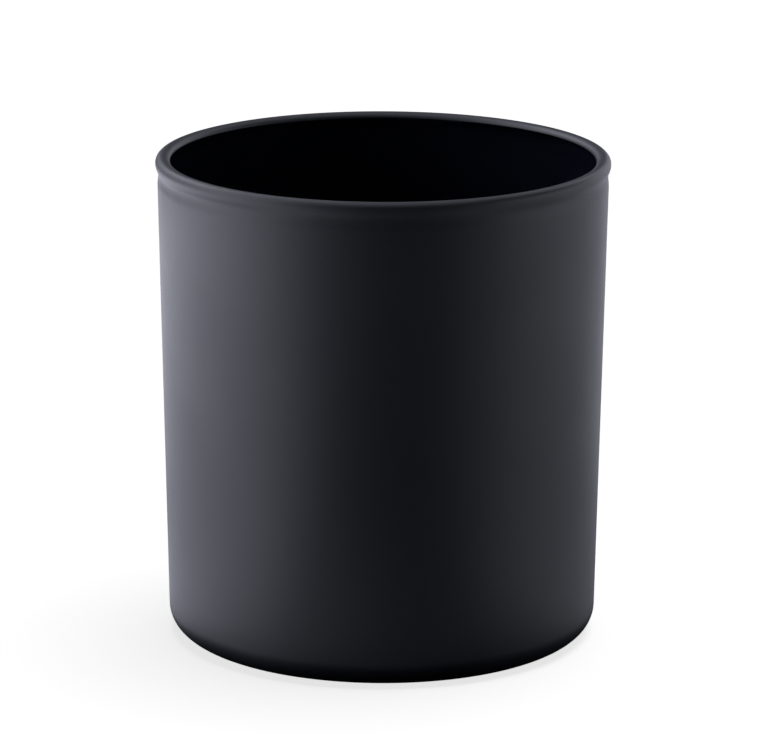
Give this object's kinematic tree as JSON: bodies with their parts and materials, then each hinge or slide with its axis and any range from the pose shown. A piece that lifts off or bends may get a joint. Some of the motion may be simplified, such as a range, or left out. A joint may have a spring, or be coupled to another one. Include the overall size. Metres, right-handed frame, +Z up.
{
  "type": "candle jar",
  "caption": "Straight-sided round glass candle jar with a rolled rim and a matte black lacquered outside, open at the top and empty.",
  "frame": {"origin": "centre of the ring that the jar stands on, on the surface it stands on", "axes": "+Z up along the jar's axis of turning, towards the open mouth; +X and +Y are any two directions square to it"},
  "size_m": [0.081, 0.081, 0.0872],
  "materials": {
    "clear_glass": "clear, glossy, fire-polished",
    "matte_lacquer": "sprayed matte black lacquer with a soft sheen"
  },
  "bodies": {
    "root": {"glass_tumbler": "clear_glass", "matte_coat": "matte_lacquer"}
  },
  "joints": []
}
